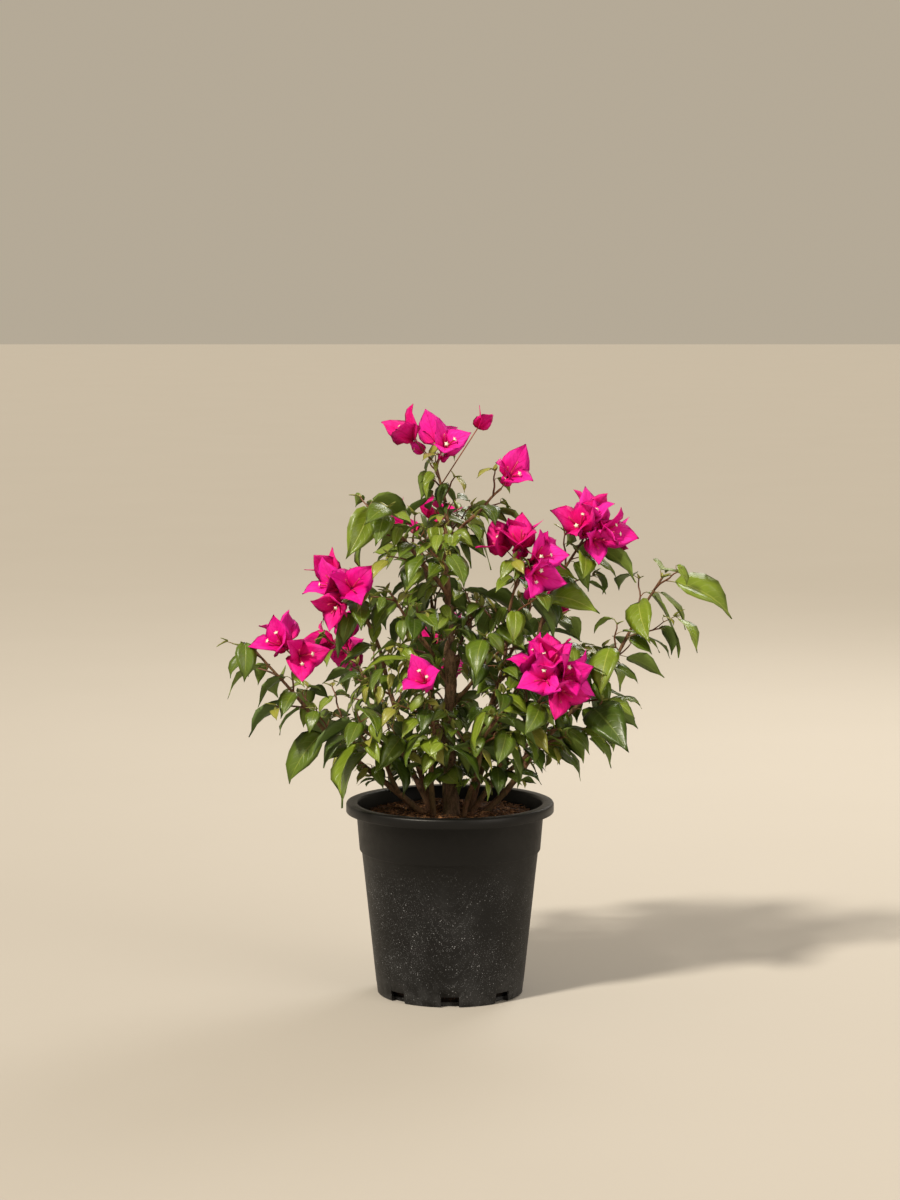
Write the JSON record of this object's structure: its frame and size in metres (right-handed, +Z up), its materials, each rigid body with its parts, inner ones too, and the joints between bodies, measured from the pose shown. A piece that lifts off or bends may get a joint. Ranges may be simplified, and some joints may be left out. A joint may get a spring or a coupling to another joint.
{
  "type": "potted bougainvillea shrub",
  "caption": "Young flowering bougainvillea shrub with magenta bracts, growing in the round black plastic nursery pot that it stands in",
  "frame": {"origin": "centre of the pot's flat underside, on the surface that it stands on", "axes": "+Z up along the pot's axis, +X to the right and +Y to the back as seen in the picture"},
  "size_m": [0.6715, 0.4479, 0.7978],
  "materials": {
    "pot": "black injection-moulded plastic, satin at the rim, with dried splashes of dust",
    "potting_mix": "moist fibrous mix of bark and coir",
    "bark": "brown woody stems, greenish near the foot",
    "foliage": "glossy green leaves",
    "bracts": "papery magenta bracts"
  },
  "bodies": {
    "root": {"bough_back_high": "bark", "bough_back_left": "bark", "bough_back_mid": "bark", "bough_back_right": "bark", "bough_front_left": "bark", "bough_front_right": "bark", "bough_inner_back": "bark", "bough_inner_left": "bark", "bough_inner_right": "bark", "bough_left_back": "bark", "bough_left_high": "bark", "bough_left_low": "bark", "bough_left_mid": "bark", "bough_left_skirt": "bark", "bough_right_back": "bark", "bough_right_far": "bark", "bough_right_high": "bark", "bough_right_low": "bark", "bough_right_mid": "bark", "bough_right_skirt": "bark", "bough_upper_back": "bark", "bough_upper_left": "bark", "bough_upper_right": "bark", "leader": "bark", "main_stem": "bark", "pot": "pot", "potting_mix": "potting_mix", "spray_back_high": "foliage", "spray_back_left": "foliage", "spray_back_mid": "foliage", "spray_back_right": "foliage", "spray_front_left": "foliage", "spray_front_right": "foliage", "spray_inner_back": "foliage", "spray_inner_left": "foliage", "spray_inner_right": "foliage", "spray_left_back": "foliage", "spray_left_high": "foliage", "spray_left_low": "foliage", "spray_left_mid": "foliage", "spray_left_skirt": "foliage", "spray_right_back": "foliage", "spray_right_far": "foliage", "spray_right_high": "foliage", "spray_right_low": "foliage", "spray_right_mid": "foliage", "spray_right_skirt": "foliage", "spray_top": "foliage", "spray_upper_back": "foliage", "spray_upper_left": "foliage", "spray_upper_right": "foliage"}
  },
  "joints": []
}
